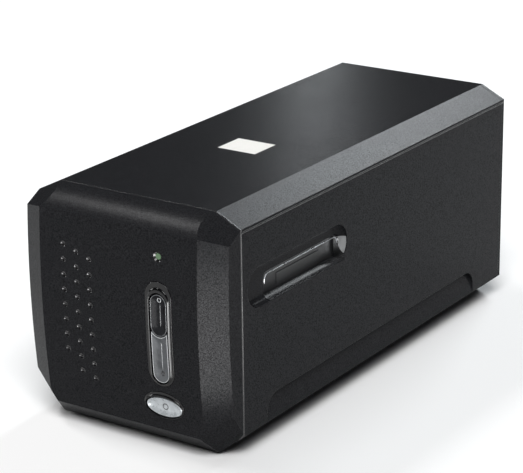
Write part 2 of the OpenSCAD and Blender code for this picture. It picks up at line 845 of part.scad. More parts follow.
module rear_panel() {
    board_back = board_front + board_t;
    color("#26282b")
        difference() {
            union() {
                along_y(shell_end, rear_y) case_outline();
                tongue_ring(shell_end - 2 * tongue_l, shell_end + join);
                for (x = [-board_screw_x, board_screw_x], z = board_screw_z)
                    translate([x, 0, z]) rod_y(boss_r, board_back, shell_end + join);
            }
            for (x = [-rear_screw_x, rear_screw_x], z = rear_screw_z) translate([x, 0, z]) {
                rod_y(shank_r + fit_gap, shell_end - join, rear_y + 1);
                rod_y(head_r + fit_gap, rear_y - head_t, rear_y + 1);
            }
            for (x = [-board_screw_x, board_screw_x], z = board_screw_z)
                translate([x, 0, z]) rod_y(shank_r + run_gap, board_back - 1, board_back + screw_l / 2);
            along_y(shell_end - 1, rear_y + 1) {
                translate([usb_x, socket_z])
                    square([usb_w + 2 * fit_gap, usb_h + 2 * fit_gap], center = true);
                translate([inlet_x, socket_z]) circle(r = inlet_r + wall / 2);
                translate([lock_x, socket_z]) stadium(lock_w, lock_h);
            }
        }
}

module case_screws() {
    color("#3a3b3d")
        for (x = [-rear_screw_x, rear_screw_x], z = rear_screw_z) translate([x, 0, z]) difference() {
            union() {
                rod_y(head_r, rear_y - head_t, rear_y - head_sunk);
                rod_y(shank_r, rear_y - screw_l, rear_y - head_t + eps);
            }
            for (turn = [0, 90]) rotate([0, turn, 0])
                block([-cross_l / 2, rear_y - head_sunk - cross_depth, -cross_w / 2],
                      [cross_l / 2, rear_y, cross_w / 2]);
        }
}

// Points of an upright stadium about a height, with points up its straight sides for the bow
function stadium_points(w, low, high) = let (r = w / 2, run = high - low - w) concat(
    [for (a = [0:10:180]) [r * cos(a), high - r + r * sin(a)]],
    [for (i = [1:rim_steps - 1]) [-r, high - r - run * i / rim_steps]],
    [for (a = [180:10:360]) [r * cos(a), low + r + r * sin(a)]],
    [for (i = [1:rim_steps - 1]) [r, low + r + run * i / rim_steps]]
);

function oval_points(w, h, z) = [for (a = [0:7.5:352.5]) [cos(a) * w / 2, z + sin(a) * h / 2]];

// One ring of points on the layer of the bow at a given depth
function on_bow(points, depth) = [for (p = points) [button_x + p.x, bow_y(p.y, depth), p.y]];

// Section through a rim: up a quarter ellipse to its crest, and down a deeper one to its inner edge
function rim_depth(a) = a < 90 ? -rim_h * sin(a) : rim_drop - (rim_drop + rim_h) * sin(a);

// Rounded rim that crosses from an outer to an inner outline
function rim_rings(outer, inner) = [for (a = [0:15:180])
    let (part = (1 - cos(a)) / 2)
    on_bow((1 - part) * outer + part * inner, rim_depth(a))];

// Closed band through rings of points: it runs through all rings and back to the first
module ring_band(rings) {
    n = len(rings[0]);
    m = len(rings);
    polyhedron([for (ring = rings, p = ring) p],
        [for (i = [0:m - 1], j = [0:n - 1], half = [0, 1])
            let (a = i * n + j, b = i * n + (j + 1) % n, next = (i + 1) % m * n)
            let (c = next + (j + 1) % n, d = next + j)
            half == 0 ? [a, b, c] : [a, c, d]]);
}

// Surround with a flange behind the bezel's wall and a rounded rim in front of it
module rimmed_surround(outer, inner, flange) {
    ring_band(concat(
        [on_bow(flange, surround_back), on_bow(flange, wall + fit_gap), on_bow(outer, wall + fit_gap)],
        rim_rings(outer, inner),
        [on_bow(inner, surround_back)]
    ));
}

module button_surround() {
    high = surround_low_z + surround_l;
    color("#0c0c0e")
        rimmed_surround(
            stadium_points(surround_w, surround_low_z, high),
            stadium_points(button_w + 2 * button_gap, button_low_z - button_gap, button_high_z + button_gap),
            stadium_points(surround_w + 2 * flange_reach, surround_low_z - flange_reach, high + flange_reach)
        );
}

module power_surround() {
    middle = power_z + cup_rise;
    color("#0c0c0e")
        rimmed_surround(
            oval_points(cup_w, cup_h, middle),
            oval_points(power_w + 2 * button_gap, power_h + 2 * button_gap, power_z),
            oval_points(cup_w + 2 * flange_reach, cup_h + 2 * flange_reach, middle)
        );
}

module status_lens() {
    color("#a9c9a4") {
        translate([button_x, 0, led_z])
            rod_y(led_d / 2, bow_y(led_z, lens_sunk), board_y - pipe_l - fit_gap);
        translate([button_x, 0, led_z])
            rod_y(led_d / 2 + lens_flange, bow_y(led_z + led_d, wall) + fit_gap,
                  bow_y(led_z, wall) + lens_flange_t);
    }
}

// Finger groove down the middle of a scan button
module button_groove(z0, z1) {
    r = (pow(groove_w / 2, 2) + pow(groove_depth, 2)) / (2 * groove_depth);
    y = bow_y((z0 + z1) / 2, -button_proud) + groove_depth - r;
    translate([button_x, y, z0]) cylinder(r = r, h = z1 - z0);
    for (z = [z0, z1]) translate([button_x, y, z]) sphere(r = r);
}

module button_dot(z) {
    translate([button_x, bow_y(z, -button_proud) + dot_sunk - dot_r, z]) sphere(r = dot_r);
}

// Plunger end of a button, from its stop to just short of its switch
module button_stem(z, travel) {
    translate([button_x, 0, z]) rod_y(stem_r, bow_y(z, stop_back) - join, plunger_y - travel - fit_gap);
}

module upper_button() {
    z0 = button_high_z - button_upper_l;
    middle = z0 + button_upper_l / 2;
    color("#3d4045")
        difference() {
            union() {
                bow_layer(-button_proud, stop_back)
                    translate([button_x, middle]) stadium(button_w, button_upper_l);
                bow_layer(stop_front, stop_back)
                    translate([button_x, middle + stop_reach])
                        square([button_w + 2 * stop_reach, button_w], center = true);
                button_stem(switch_z[1], button_travel);
            }
            button_groove(z0 + groove_start, button_high_z - groove_end);
            button_dot(button_high_z - dot_inset);
        }
}

module lower_button() {
    z1 = button_high_z - button_upper_l - button_gap;
    color("#6d7074")
        difference() {
            union() {
                bow_layer(-button_proud, stop_back) difference() {
                    translate([button_x - button_w / 2, button_low_z + button_w / 2])
                        square([button_w, button_split_z - button_low_z - button_w / 2 - horn_cut]);
                    translate([button_x, button_split_z])
                        circle(r = button_w / 2 + button_gap, $fn = fine);
                }
                bow_layer(-button_proud, stop_back)
                    translate([button_x, button_low_z + button_w / 2])
                        circle(d = button_w, $fn = fine);
                bow_layer(stop_front, stop_back)
                    translate([button_x, switch_z[0]])
                        square([button_w + 2 * stop_reach, button_w], center = true);
                button_stem(switch_z[0], button_travel);
            }
            button_groove(button_low_z + groove_end, z1 - horn_groove);
            button_dot(button_low_z + dot_inset);
        }
}

module power_button() {
    color("#9a9da0")
        difference() {
            union() {
                bow_layer(-button_proud, stop_back)
                    translate([button_x, power_z]) oval(power_w, power_h);
                bow_layer(stop_front, stop_back)
                    translate([button_x, power_z])
                        square([power_w + 2 * stop_reach, power_h - 2 * stop_reach], center = true);
                button_stem(power_z, power_travel);
            }
            // Ring mark in the middle of the button
            difference() {
                translate([button_x, 0, power_z])
                    rod_y(ring_r[1], face_y - reach, bow_y(power_z, -button_proud) + ring_depth);
                translate([button_x, 0, power_z]) rod_y(ring_r[0], face_y - reach - 1, seam_y);
            }
        }
}

module button_board() {
    color("#1f5a34")
        difference() {
            union() {
                block([button_board_x, board_y, button_board_z[0]],
                      [button_board_x + button_board_w, board_y + board_t, button_board_z[1]]);
                translate([button_x, 0, led_z]) rod_y(pipe_r, board_y - pipe_l, board_y + join);
            }
            for (z = board_post_z)
                translate([board_post_x, 0, z])
                    rod_y(shank_r + fit_gap, board_y - 1, board_y + board_t + 1);
        }
}

module tact_switches() {
    color("#2b2b2b")
        for (z = switch_z) translate([button_x, 0, z]) {
            block([-switch_w / 2, board_y - switch_l, -switch_w / 2], [switch_w / 2, board_y, switch_w / 2]);
            rod_y(plunger_r, plunger_y, board_y - switch_l + eps);
        }
}

// Frame that carries a dust flap, on the loading side
module slot_frame() {
    low = film_floor_z;
    high = frame_top + guide_floor;
    y0 = slot_start - frame_side;
    y1 = slot_end + frame_side;
    difference() {
        block([frame_x, y0 - frame_wall, low], [slot_boss_x, y1 + frame_wall, high]);
        block([frame_x - 1, y0, slot_z], [slot_boss_x + 1, y1, frame_top]);
        translate([flap_x, 0, flap_pin_z])
            rod_y(flap_pin_r + run_gap, y0 - frame_wall - 1, y1 + frame_wall + 1);
    }
}

module slot_frame_right() {
    color("#2b2d30") slot_frame();
}

module slot_frame_left() {
    color("#2b2d30") mirror([1, 0, 0]) slot_frame();
}

// Flap with its two pins; the spring sits round the rear pin
module dust_flap() {
    y0 = flap_end[0];
    y1 = flap_end[1];
    pin_y0 = slot_start - frame_side - frame_wall + pin_short;
    pin_y1 = slot_end + frame_side + frame_wall - pin_short;
    low = slot_z + flap_rise;
    translate([flap_x, 0, 0]) {
        difference() {
            union() {
                block([-flap_t / 2, y0, low], [flap_t / 2, y1, flap_pin_z]);
                translate([0, 0, flap_pin_z]) rod_y(flap_t / 2 + flap_roll, y0, y1);
            }
            // Notch for the spring
            block([-flap_t, y1 - spring_w, flap_pin_z - spring_r - move_gap],
                  [flap_t, y1 + 1, flap_pin_z + flap_t]);
        }
        translate([0, 0, flap_pin_z]) rod_y(flap_pin_r, pin_y0, pin_y1);
        // Raised pad on the outer face
        block([flap_t / 2 - eps, pad_y - pad_w / 2, low],
              [flap_t / 2 + pad_t, pad_y + pad_w / 2, low + pad_h]);
    }
}

module dust_flap_right() {
    color("#1b1c1e") dust_flap();
}

module dust_flap_left() {
    color("#1b1c1e") mirror([1, 0, 0]) dust_flap();
}

module flap_springs() {
    y1 = flap_end[1];
    color("#b8bcc0")
        for (side = [-1, 1]) translate([side * flap_x, 0, flap_pin_z]) difference() {
            rod_y(spring_r, y1 - spring_w + fit_gap, y1 - fit_gap);
            rod_y(flap_pin_r + spring_gap, y1 - spring_w, y1 + 1);
        }
}

// Square tube that guides the film holder from one slot to the other
module film_guide() {
    y0 = slot_start - frame_side;
    y1 = slot_end + frame_side;
    z1 = frame_top + guide_floor;
    gate = [frame_w / 2 + gate_margin, frame_l / 2 + gate_margin];
    color("#303236")
        difference() {
            block([-frame_x, y0 - guide_wall, film_floor_z], [frame_x, y1 + guide_wall, z1]);
            block([-frame_x - 1, y0, slot_z], [frame_x + 1, y1, frame_top]);
            block([-gate.x, slot_y - gate.y, film_floor_z - 1], [gate.x, slot_y + gate.y, z1 + 1]);
        }
}

module lamp_housing() {
    z0 = frame_top + guide_floor;
    outer = lamp_inner + [lamp_wall, lamp_wall];
    color("#d9d9d6")
        difference() {
            block([-outer.x, slot_y - outer.y, z0], [outer.x, slot_y + outer.y, z0 + lamp_h]);
            block([-lamp_inner.x, slot_y - lamp_inner.y, z0 - 1],
                  [lamp_inner.x, slot_y + lamp_inner.y, z0 + lamp_h - lamp_wall]);
        }
}

module diffuser() {
    z0 = frame_top + guide_floor;
    size = lamp_inner - [fit_gap, fit_gap];
    color("#f4f4ee")
        block([-size.x, slot_y - size.y, z0], [size.x, slot_y + size.y, z0 + diffuser_t]);
}

module lamp_board() {
    z1 = frame_top + guide_floor + lamp_h - lamp_wall;
    z0 = z1 - board_t;
    size = lamp_inner - [fit_gap, fit_gap];
    color("#1f5a34") {
        block([-size.x, slot_y - size.y, z0], [size.x, slot_y + size.y, z1]);
        for (x = lamp_x, y = lamp_y) translate([x, slot_y + y, z0 - lamp_t])
            block([-lamp_size / 2, -lamp_size / 2, 0], [lamp_size / 2, lamp_size / 2, lamp_t + eps]);
    }
}

// Upright stand across the chassis, with bores for the guide rods
module rod_stand(y0) {
    difference() {
        block([-stand_w / 2, y0, deck_z - join], [stand_w / 2, y0 + stand_t, deck_z + stand_h]);
        for (x = [-rod_x, rod_x])
            translate([x, 0, rod_z]) rod_y(rod_r + run_gap, y0 - 1, y0 + stand_t + 1);
    }
}

module chassis() {
    color("#3a3c3f") {
        difference() {
            block([-column_x - column_r, stand_front, chassis_z],
                  [column_x + column_r, motor_y + chassis_tail, deck_z]);
            // Hollow under the motor
            translate([0, 0, screw_z]) rod_y(motor_r + move_gap, motor_y, motor_y + motor_l + 1);
            for (x = [-chassis_boss_x, chassis_boss_x], y = chassis_boss_y)
                translate([x, y, chassis_z - 1]) cylinder(r = shank_r + fit_gap, h = chassis_t + 2);
        }
        rod_stand(stand_front);
        difference() {
            rod_stand(stand_back);
            translate([0, 0, screw_z]) rod_y(pilot_r + fit_gap, stand_back - 1, motor_y + 1);
            for (x = [-motor_r, motor_r])
                translate([x, 0, screw_z]) rod_y(shank_r + fit_gap, stand_back - 1, motor_y + 1);
        }
        // Front bearing of the lead screw
        difference() {
            block([-nut_r, stand_mid, deck_z - join],
                  [nut_r, stand_mid + stand_t, screw_z + screw_r + bearing_rim]);
            translate([0, 0, screw_z]) rod_y(screw_r + run_gap, stand_mid - 1, stand_mid + stand_t + 1);
        }
        // Columns under the film guide
        for (x = [-column_x, column_x], y = column_y) {
            translate([x, y, deck_z - join]) cylinder(r = column_r, h = film_floor_z - deck_z + join);
        }
    }
}

module guide_rods() {
    color("#c5c8cb")
        for (x = [-rod_x, rod_x])
            translate([x, 0, rod_z]) rod_y(rod_r, stand_front, stand_back + stand_t);
}

module lead_screw() {
    color("#b4b7ba") translate([0, 0, screw_z]) {
        rod_y(screw_r, stand_mid - screw_tip, motor_y + motor_l / 2);
    }
}

module motor() {
    color("#8d9093")
        difference() {
            union() {
                translate([0, 0, screw_z]) {
                    rod_y(motor_r, motor_y, motor_y + motor_l);
                    rod_y(pilot_r, motor_y - pilot_l, motor_y + eps);
                }
                block([-motor_r - motor_ear.x, motor_y, screw_z - motor_ear.y / 2],
                      [motor_r + motor_ear.x, motor_y + motor_ear.z, screw_z + motor_ear.y / 2]);
            }
            translate([0, 0, screw_z])
                rod_y(screw_r + run_gap, motor_y - pilot_l - 1, motor_y + motor_l / 2 + 1);
            for (x = [-motor_r, motor_r])
                translate([x, 0, screw_z]) rod_y(shank_r + fit_gap, motor_y - 1, motor_y + pilot_l + join);
        }
}

module motor_screws() {
    color("#b4b7ba")
        for (x = [-motor_r, motor_r]) translate([x, 0, screw_z]) {
            rod_y(head_r, stand_back - head_t, stand_back);
            rod_y(shank_r, stand_back - eps, motor_y + pilot_l);
        }
}

module drive_nut() {
    color("#d8c48a")
        difference() {
            union() {
                translate([0, 0, screw_z]) rod_y(nut_r, nut_y, nut_y + nut_l);
                block([-nut_r, nut_y, screw_z], [nut_r, nut_y + nut_l, carriage_z]);
            }
            translate([0, 0, screw_z]) rod_y(screw_r + run_gap, nut_y - 1, nut_y + nut_l + 1);
        }
}

// Light-tight box that carries the mirror, the lens and the sensor
module carriage() {
    half = carriage_w / 2;
    low = carriage_z + carriage_wall;
    high = carriage_top - carriage_wall;
    color("#2a2b2e") {
        difference() {
            block([-half, carriage_front, carriage_z], [half, carriage_back, carriage_top]);
            block([-half + carriage_wall, carriage_front + carriage_wall, low],
                  [half - carriage_wall, lens_wall_y, high]);
            block([-half + carriage_wall, lens_wall_y + lens_wall_t, low],
                  [half - carriage_wall, carriage_back + 1, high]);
            translate([0, 0, optic_z])
                rod_y(lens_r + run_gap, lens_wall_y - 1, lens_wall_y + lens_wall_t + 1);
            block([-frame_w / 2 - 1, scan_y - slit_w / 2, high - 1],
                  [frame_w / 2 + 1, scan_y + slit_w / 2, carriage_top + 1]);
        }
        // Ears on the guide rods
        both_sides() for (y = [ear_front, ear_back]) difference() {
            union() {
                translate([rod_x, 0, rod_z]) rod_y(ear_r, y, y + ear_l);
                block([half - join, y, rod_z - ear_r + 1], [rod_x, y + ear_l, rod_z + ear_r - 1]);
            }
            translate([rod_x, 0, rod_z]) rod_y(rod_r + bush_t + run_gap, y - 1, y + ear_l + 1);
        }
    }
}

module carriage_bushes() {
    color("#c9a35a")
        for (x = [-rod_x, rod_x], y = [ear_front, ear_back]) translate([x, 0, rod_z]) difference() {
            rod_y(rod_r + bush_t, y, y + ear_l);
            rod_y(rod_r + run_gap, y - 1, y + ear_l + 1);
        }
}

// Mirror at 45 degrees under the scan line
module mirror_node() {
    half = carriage_w / 2 - carriage_wall - fit_gap;
    color("#dfe6ea")
        translate([0, scan_y, optic_z]) rotate([-45, 0, 0])
            block([-half, -mirror_l / 2, -mirror_t], [half, mirror_l / 2, 0]);
}

module lens_barrel() {
    color("#1c1c1e") translate([0, 0, optic_z]) difference() {
        union() {
            rod_y(lens_r, lens_y, lens_y + lens_l);
            rod_y(lens_r + lens_tube, lens_wall_y - lens_flange_l, lens_wall_y);
        }
        rod_y(lens_r - lens_tube, lens_y - 1, lens_y + lens_l + 1);
    }
}

module lens_elements() {
    color("#a8c4d4") translate([0, 0, optic_z])
        for (y = [lens_y + 1, lens_y + (lens_l - element_t) / 2, lens_y + lens_l - element_t - 1])
            rod_y(lens_r - lens_tube - run_gap, y, y + element_t);
}

module sensor_board() {
    half = carriage_w / 2;
    color("#1f5a34")
        block([-half, sensor_y, carriage_z], [half, sensor_y + board_t, carriage_top]);
}

module image_sensor() {
    color("#4b3b5a")
        translate([0, sensor_y - sensor_size.y / 2, optic_z]) cube(sensor_size, center = true);
}

module main_board() {
    color("#1f5a34")
        difference() {
            union() {
                block([-board_w / 2, board_front, board_z],
                      [board_w / 2, board_front + board_t, board_z + board_h]);
                // Large chips and capacitors on the front side
                for (c = chips) translate([c[0], 0, board_z + c[1]])
                    block([-c[2] / 2, board_front - c[4], -c[3] / 2],
                          [c[2] / 2, board_front + eps, c[3] / 2]);
                for (z = capacitor_z) translate([capacitor_x, 0, board_z + z])
                    rod_y(capacitor_r, board_front - capacitor_l, board_front + eps);
            }
            for (x = [-board_screw_x, board_screw_x], z = board_screw_z)
                translate([x, 0, z]) rod_y(shank_r + fit_gap, board_front - 1, board_front + board_t + 1);
        }
}

module board_screws() {
    color("#b4b7ba") {
        for (x = [-board_screw_x, board_screw_x], z = board_screw_z) translate([x, 0, z]) {
            rod_y(head_r, board_front - head_t, board_front);
            rod_y(shank_r, board_front - eps, board_front + board_t + screw_l / 2 - 1);
        }
        for (z = board_post_z) translate([board_post_x, 0, z]) {
            rod_y(head_r, board_y + board_t, board_y + board_t + head_t);
            rod_y(shank_r, board_y - screw_l / 2, board_y + board_t + eps);
        }
    }
}

module usb_port() {
    y0 = board_front + board_t;
    y1 = y0 + usb_floor;
    mouth = [usb_w - 2 * usb_wall, usb_h - 2 * usb_wall];
    color("#c5c8cb") translate([usb_x, 0, socket_z]) {
        difference() {
            block([-usb_w / 2, y0, -usb_h / 2], [usb_w / 2, y0 + socket_l, usb_h / 2]);
            block([-mouth.x / 2, y1, -mouth.y / 2], [mouth.x / 2, rear_y + 1, mouth.y / 2]);
        }
        // Tongue with the contacts
        block([-usb_tongue.x / 2, y1 - eps, -usb_tongue.z / 2],
              [usb_tongue.x / 2, y1 + usb_tongue.y, usb_tongue.z / 2]);
    }
}

module dc_jack() {
    y0 = board_front + board_t;
    collar_r = inlet_r + wall / 2 - fit_gap;
    color("#111213") translate([inlet_x, 0, socket_z]) {
        difference() {
            union() {
                block([-inlet_w / 2, y0, -inlet_w / 2], [inlet_w / 2, shell_end - fit_gap, inlet_w / 2]);
                rod_y(collar_r, shell_end - 1, rear_y);
            }
            rod_y(inlet_r, y0 + inlet_floor, rear_y + 1);
        }
        rod_y(inlet_pin_r, y0 + inlet_floor - eps, rear_y - inlet_pin_sunk);
    }
}

module chassis_screws() {
    color("#b4b7ba")
        for (x = [-chassis_boss_x, chassis_boss_x], y = chassis_boss_y) translate([x, y, 0]) {
            translate([0, 0, deck_z]) cylinder(r = head_r, h = head_t);
            translate([0, 0, floor_z + tip_gap])
                cylinder(r = shank_r, h = deck_z - floor_z - tip_gap + eps);
        }
}

lower_case();
top_cover();
front_bezel();
rear_panel();
top_label();
rubber_feet();
button_surround();
power_surround();
status_lens();
upper_button();
lower_button();
power_button();
button_board();
tact_switches();
slot_frame_right();
slot_frame_left();
dust_flap_right();
dust_flap_left();
flap_springs();
film_guide();
lamp_housing();
lamp_board();
diffuser();
chassis();
guide_rods();
lead_screw();
motor();
drive_nut();
carriage();
carriage_bushes();
mirror_node();  // mirror
lens_barrel();
lens_elements();
sensor_board();
image_sensor();
main_board();
usb_port();
dc_jack();
case_screws();
chassis_screws();
board_screws();
motor_screws();
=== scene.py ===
"""Looks of a desktop scanner for film strips, in metres, around its fixed frame."""
import json
import math

import bmesh
import bpy
from mathutils import Matrix, Vector


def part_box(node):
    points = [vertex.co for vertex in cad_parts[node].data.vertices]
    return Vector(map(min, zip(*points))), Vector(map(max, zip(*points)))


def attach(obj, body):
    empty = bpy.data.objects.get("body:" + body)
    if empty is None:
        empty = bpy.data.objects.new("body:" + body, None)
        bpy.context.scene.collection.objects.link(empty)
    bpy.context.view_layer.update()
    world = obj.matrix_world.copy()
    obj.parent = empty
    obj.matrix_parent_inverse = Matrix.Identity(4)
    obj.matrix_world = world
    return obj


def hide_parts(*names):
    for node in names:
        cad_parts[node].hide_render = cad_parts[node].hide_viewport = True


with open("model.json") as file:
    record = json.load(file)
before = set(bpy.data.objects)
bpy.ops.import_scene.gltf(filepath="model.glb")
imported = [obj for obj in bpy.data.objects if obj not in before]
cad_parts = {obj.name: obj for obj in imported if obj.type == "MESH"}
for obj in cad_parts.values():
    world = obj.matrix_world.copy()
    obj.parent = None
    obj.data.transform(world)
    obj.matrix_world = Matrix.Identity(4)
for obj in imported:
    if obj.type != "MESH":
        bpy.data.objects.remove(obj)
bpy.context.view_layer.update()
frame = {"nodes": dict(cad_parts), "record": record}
nodes = frame["nodes"]
MM = 0.001

# The front's bow is a cylinder along X: its radius, and the height and place along Y of its axis
BOW_R = 510 * MM
BOW_Z = 75 * MM
BOW_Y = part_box("front_bezel")[0][1] + BOW_R

# ---------------------------------------------------------------- camera
AZIMUTH = math.radians(33.87)       # from the front towards the right side
ELEVATION = math.radians(19.35)
ROLL = math.radians(-0.73)
DISTANCE = 1.0912
TARGET = Vector((-0.01015, 0.0, 0.06158))
FRAME_WIDTH_PX = 523                # of the picture
FOCAL_PX = 2113.8                   # in pixels of that picture
SENSOR_MM = 36.0
CLIP_NEAR, CLIP_FAR = 0.05, 50.0


def make_camera():
    data = bpy.data.cameras.new("camera")
    data.sensor_width = SENSOR_MM
    data.lens = FOCAL_PX * SENSOR_MM / FRAME_WIDTH_PX
    data.clip_start = CLIP_NEAR
    data.clip_end = CLIP_FAR
    camera = bpy.data.objects.new("camera", data)
    bpy.context.collection.objects.link(camera)
    back = Vector((math.cos(ELEVATION) * math.sin(AZIMUTH),
                   -math.cos(ELEVATION) * math.cos(AZIMUTH),
                   math.sin(ELEVATION)))
    place = Matrix.Translation(TARGET + DISTANCE * back)
    turn = (-back).to_track_quat("-Z", "Y").to_matrix().to_4x4()
    camera.matrix_world = place @ turn @ Matrix.Rotation(ROLL, 4, "Z")
    bpy.context.scene.camera = camera


# ---------------------------------------------------------------- floor and light
FLOOR_RADIUS = 12.0
FLOOR_WHITE = 0.9
WORLD_STRENGTH = 0.03
SOFTBOX_AIM = Vector((0, 0, 0.1))
COOL_WHITE = (0.92, 0.97, 1.0)
CARD_PLACE = Vector((0.17, -0.32, 0.0005))
UP = Vector((0, 0, 1))


def make_floor():
    bpy.ops.mesh.primitive_circle_add(vertices=96, radius=FLOOR_RADIUS, fill_type="NGON")
    floor = bpy.context.object
    floor.name = "floor"
    material, _, shader = new_material("floor_white")
    shader.inputs["Base Color"].default_value = (FLOOR_WHITE, FLOOR_WHITE, FLOOR_WHITE, 1)
    shader.inputs["Roughness"].default_value = 0.9
    shader.inputs["Specular IOR Level"].default_value = 0.1
    floor.data.materials.append(material)


def area_lamp(name, place, aim, size, watts):
    """A rectangular lamp of a width and height, which the camera doesn't see."""
    data = bpy.data.lights.new(name, "AREA")
    data.shape = "RECTANGLE"
    data.size, data.size_y = size
    data.energy = watts
    lamp = bpy.data.objects.new(name, data)
    bpy.context.collection.objects.link(lamp)
    lamp.location = place
    lamp.rotation_mode = "QUATERNION"
    lamp.rotation_quaternion = (aim - place).to_track_quat("-Z", "Y")
    lamp.visible_camera = False
    return lamp


def softbox(name, azimuth, elevation, distance, size, watts):
    """A lamp that faces the object, its azimuth counted from +Y towards +X."""
    a, e = math.radians(azimuth), math.radians(elevation)
    way = Vector((math.sin(a) * math.cos(e), math.cos(a) * math.cos(e), math.sin(e)))
    return area_lamp(name, SOFTBOX_AIM + distance * way, SOFTBOX_AIM, size, watts)


def make_light():
    world = bpy.data.worlds.new("studio")
    bpy.context.scene.world = world
    world.use_nodes = True
    background = world.node_tree.nodes["Background"]
    background.inputs["Color"].default_value = (1, 1, 1, 1)
    background.inputs["Strength"].default_value = WORLD_STRENGTH
    # The key stands behind the camera, so the shadow falls behind the object
    softbox("key", azimuth=146, elevation=52, distance=3.5, size=(2.0, 2.0), watts=120)
    softbox("left_fill", azimuth=-96, elevation=57, distance=1.8, size=(0.36, 0.26), watts=8)
    softbox("left_low", azimuth=-101, elevation=17, distance=1.7, size=(0.45, 0.4), watts=7)
    # Those behind show as sheens on the top and its right bevel
    behind = [
        softbox("rear_softbox", azimuth=-4, elevation=34, distance=1.8, size=(0.5, 0.42), watts=12),
        softbox("right_softbox", azimuth=20, elevation=31, distance=1.8, size=(0.28, 0.3), watts=3.7),
        softbox("rear_strip", azimuth=-31.7, elevation=17, distance=1.8, size=(0.06, 0.6), watts=0.38),
    ]
    for lamp in behind:
        lamp.data.color = COOL_WHITE
    # A bright card on the table, in front on the right: only gloss shows it
    card = area_lamp("table_card", CARD_PLACE, CARD_PLACE + UP, size=(0.26, 0.28), watts=3.8)
    card.visible_diffuse = False


# ---------------------------------------------------------------- shader nodes
def new_material(name):
    material = bpy.data.materials.new(name)
    material.use_nodes = True
    tree = material.node_tree
    return material, tree, tree.nodes["Principled BSDF"]


def feed(tree, value, socket):
    """Gives a socket a constant, or a link from another socket."""
    if isinstance(value, (int, float, tuple)):
        socket.default_value = value
    else:
        tree.links.new(value, socket)


def noise(tree, size, detail=2.0, stretch=(1, 1, 1)):
    """Noise whose features measure about the given size in metres."""
    place = tree.nodes.new("ShaderNodeTexCoord")
    scale = tree.nodes.new("ShaderNodeMapping")
    scale.inputs["Scale"].default_value = [1 / (size * s) for s in stretch]
    tree.links.new(place.outputs["Object"], scale.inputs["Vector"])
    texture = tree.nodes.new("ShaderNodeTexNoise")
    texture.inputs["Scale"].default_value = 1.0
    texture.inputs["Detail"].default_value = detail
    tree.links.new(scale.outputs["Vector"], texture.inputs["Vector"])
    return texture.outputs["Fac"]


def spread(tree, value, low, high):
    """Maps the middle of a noise's range onto a range of numbers."""
    remap = tree.nodes.new("ShaderNodeMapRange")
    remap.inputs["From Min"].default_value = 0.3
    remap.inputs["From Max"].default_value = 0.7
    remap.inputs["To Min"].default_value = low
    remap.inputs["To Max"].default_value = high
    tree.links.new(value, remap.inputs["Value"])
    return remap.outputs["Result"]


def mixed(tree, kind, factor, a, b):
    """Mixes two values of one kind; each is a socket or a constant."""
    mix = tree.nodes.new("ShaderNodeMix")
    mix.data_type = kind
    for name, value in (("A", a), ("B", b), ("Factor", factor)):
        feed(tree, value, [i for i in mix.inputs if i.name == name and i.enabled][0])
    return [o for o in mix.outputs if o.enabled][0]


def shade(colour, factor):
    """A lighter or darker shade of a colour, with its alpha."""
    return (*(min(1.0, c * factor) for c in colour), 1.0)


def mottled(tree, value, colour, amount):
    """A colour that varies by an amount with a noise value."""
    factor = spread(tree, value, 0, 1)
    return mixed(tree, "RGBA", factor, shade(colour, 1 - amount), shade(colour, 1 + amount))


def bump(tree, shader, value, depth):
    """A relief of a depth in metres, on normals that its node can still be given."""
    node = tree.nodes.new("ShaderNodeBump")
    node.inputs["Strength"].default_value = 1.0
    node.inputs["Distance"].default_value = depth
    tree.links.new(value, node.inputs["Height"])
    tree.links.new(node.outputs["Normal"], shader.inputs["Normal"])
    return node


def soft_edges(tree, radius):
    """Normals that round each edge off by a small radius."""
    node = tree.nodes.new("ShaderNodeBevel")
    node.samples = 6
    node.inputs["Radius"].default_value = radius
    return node.outputs["Normal"]


def calc(tree, operation, a, b):
    """A Math node on two sockets or constants."""
    node = tree.nodes.new("ShaderNodeMath")
    node.operation = operation
    feed(tree, a, node.inputs[0])
    feed(tree, b, node.inputs[1])
    return node.outputs["Value"]


def surface_point(tree):
    """The shaded point as |x|, y and z, the way its surface faces, and the sign of its x."""
    geometry = tree.nodes.new("ShaderNodeNewGeometry")
    vectors = []
    for output in ("Position", "True Normal"):
        node = tree.nodes.new("ShaderNodeSeparateXYZ")
        tree.links.new(geometry.outputs[output], node.inputs[0])
        vectors.append(list(node.outputs))
    place, facing = vectors
    side = calc(tree, "SIGN", place[0], 0.0)
    place[0] = calc(tree, "ABSOLUTE", place[0], 0.0)
    return place, facing, side


def inside(tree, place, low, high):
    """1 inside a box and its mirror image, 0 outside."""
    mask = 1.0
    for value, start, stop in zip(place, low, high):
        mask = calc(tree, "MULTIPLY", calc(tree, "GREATER_THAN", value, start), mask)
        mask = calc(tree, "MULTIPLY", calc(tree, "LESS_THAN", value, stop), mask)
    return mask


# ---------------------------------------------------------------- grained plastic of the housing
SHELL_BLACK = (0.0138, 0.0142, 0.0157)
SHELL_MOTTLE = 0.55
SHELL_ROUGHNESS = 0.26
SHELL_GLOSS = 0.043                     # specular level of the grain, which its speckle varies
SMOOTH_GLOSS = 0.6                      # and of smooth zones
COVE_SHARE = 0.32                       # how far a slot's cove goes from the one to the other
SPECKLE_SIZE = 0.6 * MM
PATCH_SIZE = 20 * MM
GRAIN_DEPTH = 0.03 * MM
SHELL_EDGE = 0.4 * MM                   # how far the shader rounds edges off
FRONT_EDGE = 0.12 * MM                  # and on the front, whose dimples are small

